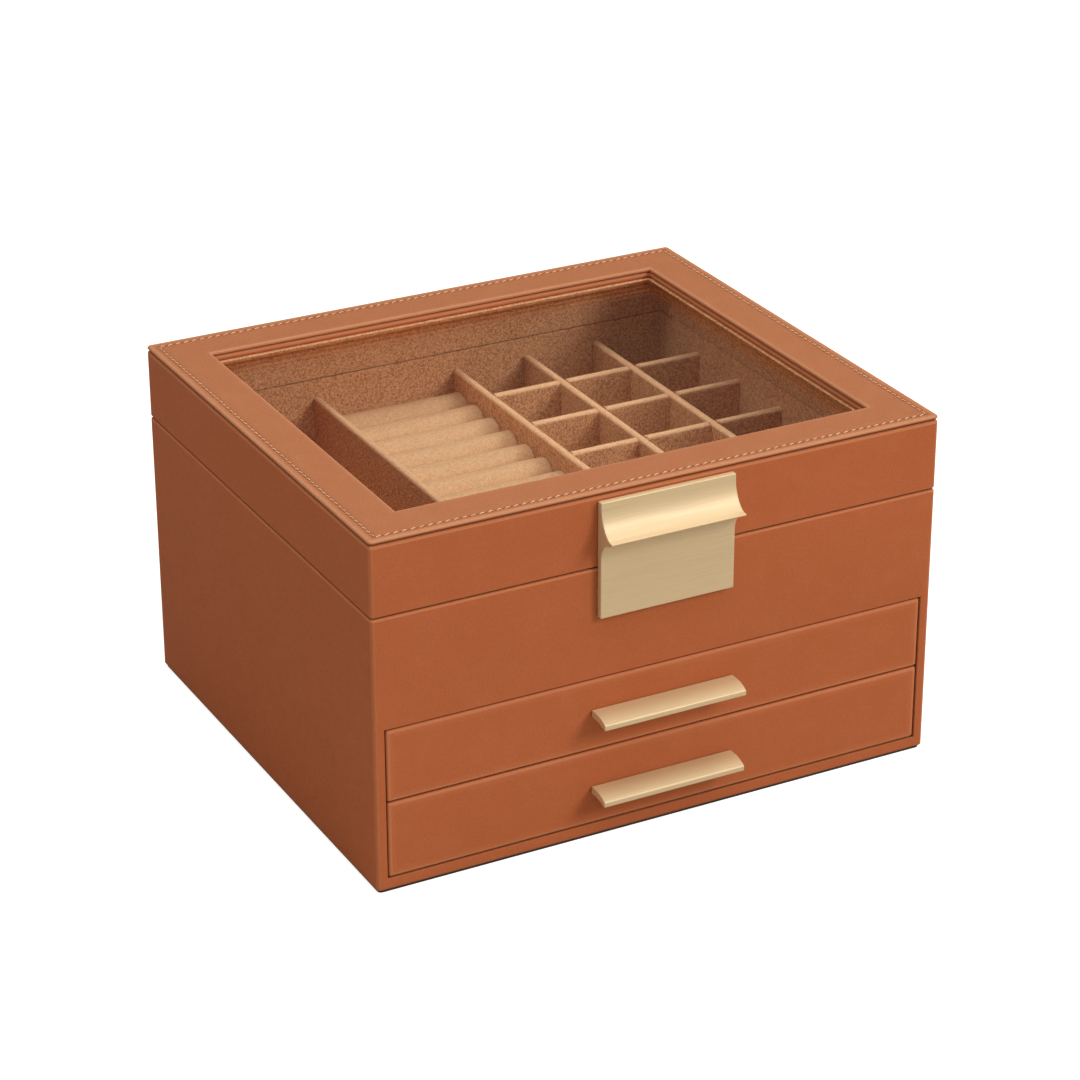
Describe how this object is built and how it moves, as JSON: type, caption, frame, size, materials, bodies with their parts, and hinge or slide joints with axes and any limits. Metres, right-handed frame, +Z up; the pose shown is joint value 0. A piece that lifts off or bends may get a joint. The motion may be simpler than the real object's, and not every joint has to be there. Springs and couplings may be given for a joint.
{
  "type": "leather jewellery case",
  "caption": "Leather-covered jewellery case with a hinged glass-topped lid, latch plate, velvet-lined tray with ring cushion and dividers, and sliding drawers.",
  "frame": {"origin": "centre of the bottom face, on the surface the case stands on", "axes": "+Z up, +X to the right along the width, -Y towards the front with the latch and drawer pulls"},
  "size_m": [0.23, 0.214, 0.138],
  "materials": {
    "leather": "smooth tan leather with fine grain, satin",
    "velvet": "short-nap beige velvet suede",
    "ring_velvet": "short-nap light beige velvet over foam",
    "board": "raw fibreboard",
    "base_felt": "black felt sheet",
    "brass": "brushed satin champagne brass",
    "hinge_brass": "plain satin brass",
    "steel": "zinc-plated steel",
    "glass": "clear float glass"
  },
  "bodies": {
    "case": {"base_felt": "base_felt", "bottom_board": "board", "side_board_left": "board", "side_board_right": "board", "back_board": "board", "front_rail": "board", "case_leather": "leather", "compartment_floor": "board", "drawer_shelf": "board", "compartment_lining": "velvet", "divider_long_1": "velvet", "divider_long_2": "velvet", "divider_long_3": "velvet", "divider_long_4": "velvet", "divider_cross_1": "velvet", "divider_cross_2": "velvet", "divider_cross_3": "velvet", "divider_cross_4": "velvet", "divider_cross_5": "velvet", "ring_cushion": "ring_velvet", "catch_plate": "steel", "hinge_left_case_leaf": "hinge_brass", "hinge_right_case_leaf": "hinge_brass", "hinge_left_pin": "steel", "hinge_right_pin": "steel", "hinge_screw_case_1": "hinge_brass", "hinge_screw_case_2": "hinge_brass", "hinge_screw_case_3": "hinge_brass", "hinge_screw_case_4": "hinge_brass"},
    "lid": {"lid_top_panel": "leather", "lid_leather": "leather", "lid_core": "board", "lid_frame_board": "board", "window_gasket": "velvet", "glass_pane": "glass", "lid_lining": "velvet", "latch_plate": "brass", "latch_magnet": "steel", "latch_screw_left": "steel", "latch_screw_right": "steel", "hinge_left_lid_leaf": "hinge_brass", "hinge_right_lid_leaf": "hinge_brass", "hinge_screw_lid_1": "hinge_brass", "hinge_screw_lid_2": "hinge_brass", "hinge_screw_lid_3": "hinge_brass", "hinge_screw_lid_4": "hinge_brass"},
    "upper_drawer": {"upper_drawer_front": "leather", "upper_drawer_box": "board", "upper_drawer_lining": "velvet", "upper_handle": "brass", "upper_handle_screw_left": "steel", "upper_handle_screw_right": "steel", "upper_drawer_divider": "velvet"},
    "lower_drawer": {"lower_drawer_front": "leather", "lower_drawer_box": "board", "lower_drawer_lining": "velvet", "lower_handle": "brass", "lower_handle_screw_left": "steel", "lower_handle_screw_right": "steel"}
  },
  "joints": [
    {"name": "lid_hinge", "type": "hinge", "parent": "case", "child": "lid", "pos_m": [0, 0.10175, 0.1086], "axis": [-1, 0, 0], "range_deg": [0, 95]},
    {"name": "upper_drawer_slide", "type": "slide", "parent": "case", "child": "upper_drawer", "axis": [0, -1, 0], "range_m": [0, 0.14]},
    {"name": "lower_drawer_slide", "type": "slide", "parent": "case", "child": "lower_drawer", "axis": [0, -1, 0], "range_m": [0, 0.14]}
  ]
}
